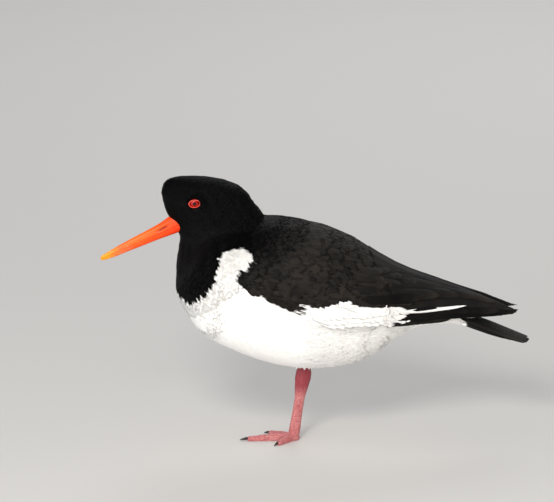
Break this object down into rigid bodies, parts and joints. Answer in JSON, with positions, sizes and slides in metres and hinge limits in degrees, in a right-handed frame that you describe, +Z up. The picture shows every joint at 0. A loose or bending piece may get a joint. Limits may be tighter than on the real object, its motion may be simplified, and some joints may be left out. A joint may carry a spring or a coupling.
{
  "type": "oystercatcher",
  "caption": "Still, life-size oystercatcher: a black and white wading bird with a long orange-red bill, resting on its left foot with the neck drawn in.",
  "frame": {"origin": "on the floor, in the sole of the standing left foot under its joint", "axes": "+X towards the tail, +Y towards the bird's right side, +Z up; the bird faces -X"},
  "size_m": [0.3876, 0.1142, 0.2493],
  "materials": {
    "black_plumage": "black contour feathers with a faint brown-grey sheen",
    "white_plumage": "white contour feathers, soft and matt",
    "bill_horn": "orange-red horn, smooth, amber at the tip",
    "leg_skin": "coral-pink scaled skin",
    "claw_horn": "black horn",
    "eye_red": "wet crimson eye with a black pupil",
    "ring_skin": "bare orange-red skin round the eye"
  },
  "bodies": {
    "root": {"bill_lower": "bill_horn", "bill_upper": "bill_horn", "claw_left_inner": "claw_horn", "claw_left_middle": "claw_horn", "claw_left_outer": "claw_horn", "eye_left": "eye_red", "eye_right": "eye_red", "eye_ring_left": "ring_skin", "eye_ring_right": "ring_skin", "head": "black_plumage", "leg_left_shank": "leg_skin", "leg_right_shank": "leg_skin", "neck": "black_plumage", "tail": "black_plumage", "toe_left_inner": "leg_skin", "toe_left_middle": "leg_skin", "toe_left_outer": "leg_skin", "toe_right_inner": "leg_skin", "toe_right_middle": "leg_skin", "toe_right_outer": "leg_skin", "trunk": "white_plumage", "wing_left_coverts": "black_plumage", "wing_left_primaries": "black_plumage", "wing_left_tertials": "black_plumage", "wing_right_coverts": "black_plumage", "wing_right_primaries": "black_plumage", "wing_right_tertials": "black_plumage"}
  },
  "joints": []
}
